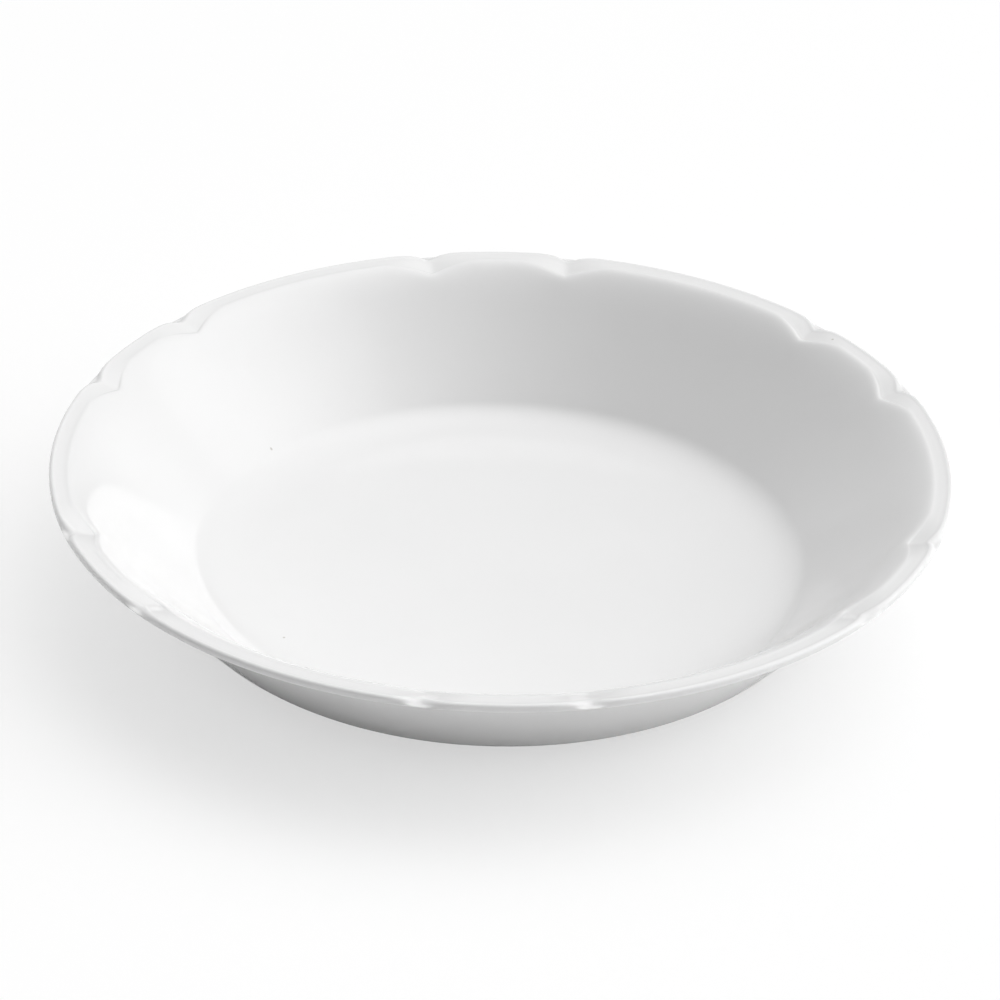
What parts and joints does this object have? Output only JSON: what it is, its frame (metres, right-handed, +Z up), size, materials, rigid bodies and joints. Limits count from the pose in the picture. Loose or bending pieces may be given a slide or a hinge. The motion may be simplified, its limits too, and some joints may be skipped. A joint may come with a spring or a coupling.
{
  "type": "deep coupe plate",
  "caption": "Deep round porcelain plate with a flat well, a sloping wall, a lobed raised edge and a foot ring, for soup, pasta or salad.",
  "frame": {"origin": "middle of the foot ring on the table plane, under the middle of the plate", "axes": "+Z up along the plate's axis; -Y is the side nearest the camera in the picture, +X to its right"},
  "size_m": [0.23, 0.23, 0.038],
  "materials": {
    "bare_porcelain": "matt fired porcelain, unglazed",
    "white_glaze": "glossy white glaze"
  },
  "bodies": {
    "root": {"porcelain_body": "bare_porcelain", "main_glaze_coat": "white_glaze", "foot_recess_glaze": "white_glaze"}
  },
  "joints": []
}
